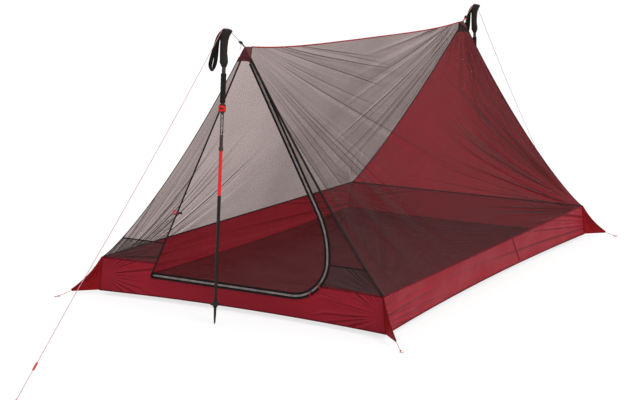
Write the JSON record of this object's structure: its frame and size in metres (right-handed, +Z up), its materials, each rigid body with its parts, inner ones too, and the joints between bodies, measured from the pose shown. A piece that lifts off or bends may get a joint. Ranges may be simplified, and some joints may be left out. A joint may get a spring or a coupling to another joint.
{
  "type": "trekking pole tent",
  "caption": "Mesh ridge tent with a red bathtub floor and a solid rear wall, held up by two trekking poles and their guylines.",
  "frame": {"origin": "On the ground under the middle of the floor.", "axes": "X across the tent to the right seen from the door, Y along the ridge from the door to the rear, Z up."},
  "size_m": [1.526, 4.6838, 1.0872],
  "materials": {
    "floor": "coated woven",
    "bathtub_wall_front": "coated woven",
    "bathtub_wall_rear": "coated woven",
    "bathtub_wall_left": "coated woven",
    "bathtub_wall_right": "coated woven",
    "corner_gusset_front_left": "coated woven",
    "corner_gusset_front_right": "coated woven",
    "corner_gusset_rear_left": "coated woven",
    "corner_gusset_rear_right": "coated woven",
    "mesh_roof_left": "matt sheer mesh",
    "mesh_roof_right": "matt sheer mesh",
    "mesh_front_left": "matt sheer mesh",
    "mesh_front_right": "matt sheer mesh",
    "rear_wall": "coated woven",
    "ridge_piping": "woven",
    "peak_patch_front": "coated woven",
    "peak_patch_rear": "coated woven",
    "door_panel": "matt sheer mesh",
    "zip_tape_door": "woven tape",
    "zip_tape_frame": "woven tape",
    "zip_slider_upper": "satin",
    "zip_slider_lower": "satin",
    "tieback_loop": "braided",
    "tieback_toggle": "satin",
    "peak_tab_front": "braided",
    "peak_tab_rear": "braided",
    "line_lock_front": "satin",
    "line_lock_rear": "satin",
    "guyline_front": "braided",
    "guyline_rear": "braided",
    "tensioner_front": "satin",
    "tensioner_rear": "satin",
    "guy_loop_front": "braided",
    "guy_loop_rear": "braided",
    "corner_cord_front_left": "braided",
    "corner_cord_front_right": "braided",
    "corner_cord_rear_left": "braided",
    "corner_cord_rear_right": "braided",
    "front_pole_grip": "matt",
    "front_pole_wrist_strap": "woven webbing",
    "front_pole_upper_tube": "satin",
    "front_pole_foam_sleeve": "matt foam",
    "front_pole_clamp": "satin",
    "front_pole_lever": "gloss",
    "front_pole_middle_shaft": "satin",
    "front_pole_red_section": "satin",
    "front_pole_lower_section": "satin",
    "front_pole_basket": "satin",
    "front_pole_tip": "satin",
    "rear_pole_grip": "matt",
    "rear_pole_wrist_strap": "woven webbing",
    "rear_pole_upper_tube": "satin",
    "rear_pole_foam_sleeve": "matt foam",
    "rear_pole_clamp": "satin",
    "rear_pole_lever": "gloss",
    "rear_pole_middle_shaft": "satin",
    "rear_pole_red_section": "satin",
    "rear_pole_lower_section": "satin",
    "rear_pole_basket": "satin",
    "rear_pole_tip": "satin"
  },
  "bodies": {
    "tent": {"floor": "floor", "bathtub_wall_front": "bathtub_wall_front", "bathtub_wall_rear": "bathtub_wall_rear", "bathtub_wall_left": "bathtub_wall_left", "bathtub_wall_right": "bathtub_wall_right", "corner_gusset_front_left": "corner_gusset_front_left", "corner_gusset_front_right": "corner_gusset_front_right", "corner_gusset_rear_left": "corner_gusset_rear_left", "corner_gusset_rear_right": "corner_gusset_rear_right", "mesh_roof_left": "mesh_roof_left", "mesh_roof_right": "mesh_roof_right", "mesh_front_left": "mesh_front_left", "mesh_front_right": "mesh_front_right", "rear_wall": "rear_wall", "ridge_piping": "ridge_piping", "peak_patch_front": "peak_patch_front", "peak_patch_rear": "peak_patch_rear", "zip_tape_frame": "zip_tape_frame", "tieback_loop": "tieback_loop", "peak_tab_front": "peak_tab_front", "peak_tab_rear": "peak_tab_rear", "line_lock_front": "line_lock_front", "line_lock_rear": "line_lock_rear", "guyline_front": "guyline_front", "guyline_rear": "guyline_rear", "guy_loop_front": "guy_loop_front", "guy_loop_rear": "guy_loop_rear", "corner_cord_front_left": "corner_cord_front_left", "corner_cord_front_right": "corner_cord_front_right", "corner_cord_rear_left": "corner_cord_rear_left", "corner_cord_rear_right": "corner_cord_rear_right", "front_pole_grip": "front_pole_grip", "front_pole_upper_tube": "front_pole_upper_tube", "front_pole_foam_sleeve": "front_pole_foam_sleeve", "front_pole_clamp": "front_pole_clamp", "rear_pole_grip": "rear_pole_grip", "rear_pole_upper_tube": "rear_pole_upper_tube", "rear_pole_foam_sleeve": "rear_pole_foam_sleeve", "rear_pole_clamp": "rear_pole_clamp"},
    "door": {"door_panel": "door_panel", "zip_tape_door": "zip_tape_door"},
    "slider_upper": {"zip_slider_upper": "zip_slider_upper"},
    "slider_lower": {"zip_slider_lower": "zip_slider_lower"},
    "toggle": {"tieback_toggle": "tieback_toggle"},
    "line_tensioner_front": {"tensioner_front": "tensioner_front"},
    "line_tensioner_rear": {"tensioner_rear": "tensioner_rear"},
    "front_pole_shaft": {"front_pole_middle_shaft": "front_pole_middle_shaft", "front_pole_red_section": "front_pole_red_section", "front_pole_lower_section": "front_pole_lower_section", "front_pole_basket": "front_pole_basket", "front_pole_tip": "front_pole_tip"},
    "front_clamp_lever": {"front_pole_lever": "front_pole_lever"},
    "front_strap": {"front_pole_wrist_strap": "front_pole_wrist_strap"},
    "rear_pole_shaft": {"rear_pole_middle_shaft": "rear_pole_middle_shaft", "rear_pole_red_section": "rear_pole_red_section", "rear_pole_lower_section": "rear_pole_lower_section", "rear_pole_basket": "rear_pole_basket", "rear_pole_tip": "rear_pole_tip"},
    "rear_clamp_lever": {"rear_pole_lever": "rear_pole_lever"},
    "rear_strap": {"rear_pole_wrist_strap": "rear_pole_wrist_strap"}
  },
  "joints": [
    {"name": "door_swing", "type": "hinge", "parent": "tent", "child": "door", "pos_m": [-0.397, -1.045, 0.105], "axis": [0.4047, 0.046, 0.9133], "range_deg": [0, 88]},
    {"name": "slider_upper_run", "type": "hinge", "parent": "tent", "child": "slider_upper", "pos_m": [0.233, -1.03769, 0.25], "axis": [0, -0.9987, 0.0504], "range_deg": [0, 36]},
    {"name": "slider_lower_run", "type": "hinge", "parent": "tent", "child": "slider_lower", "pos_m": [0.233, -1.03769, 0.25], "axis": [0, -0.9987, 0.0504], "range_deg": [-34, 0]},
    {"name": "toggle_swing", "type": "hinge", "parent": "tent", "child": "toggle", "pos_m": [-0.28311, -1.03574, 0.36219], "axis": [0, -0.0504, -0.9987], "range_deg": [0, 90]},
    {"name": "tensioner_front_slide", "type": "slide", "parent": "tent", "child": "line_tensioner_front", "axis": [0, 0.7388, 0.6739], "range_m": [0, 0.25]},
    {"name": "tensioner_rear_slide", "type": "slide", "parent": "tent", "child": "line_tensioner_rear", "axis": [0, -0.7388, 0.6739], "range_m": [0, 0.25]},
    {"name": "front_shaft_slide", "type": "slide", "parent": "tent", "child": "front_pole_shaft", "axis": [0, 0.0635, 0.998], "range_m": [0, 0.12]},
    {"name": "front_lever_swing", "type": "hinge", "parent": "tent", "child": "front_clamp_lever", "pos_m": [0.01377, -1.16558, 0.79745], "axis": [0, 0.0635, 0.998], "range_deg": [0, 120]},
    {"name": "front_strap_swing", "type": "hinge", "parent": "tent", "child": "front_strap", "pos_m": [-0.01598, -1.15016, 1.06952], "axis": [-0.5, 0.8643, -0.055], "range_deg": [0, 90]},
    {"name": "rear_shaft_slide", "type": "slide", "parent": "tent", "child": "rear_pole_shaft", "axis": [0, -0.0635, 0.998], "range_m": [0, 0.12]},
    {"name": "rear_lever_swing", "type": "hinge", "parent": "tent", "child": "rear_clamp_lever", "pos_m": [0.01377, 1.15096, 0.79652], "axis": [0, -0.0635, 0.998], "range_deg": [0, 120]},
    {"name": "rear_strap_swing", "type": "hinge", "parent": "tent", "child": "rear_strap", "pos_m": [-0.01598, 1.13175, 1.06835], "axis": [-0.5, 0.8643, 0.055], "range_deg": [0, 90]}
  ]
}
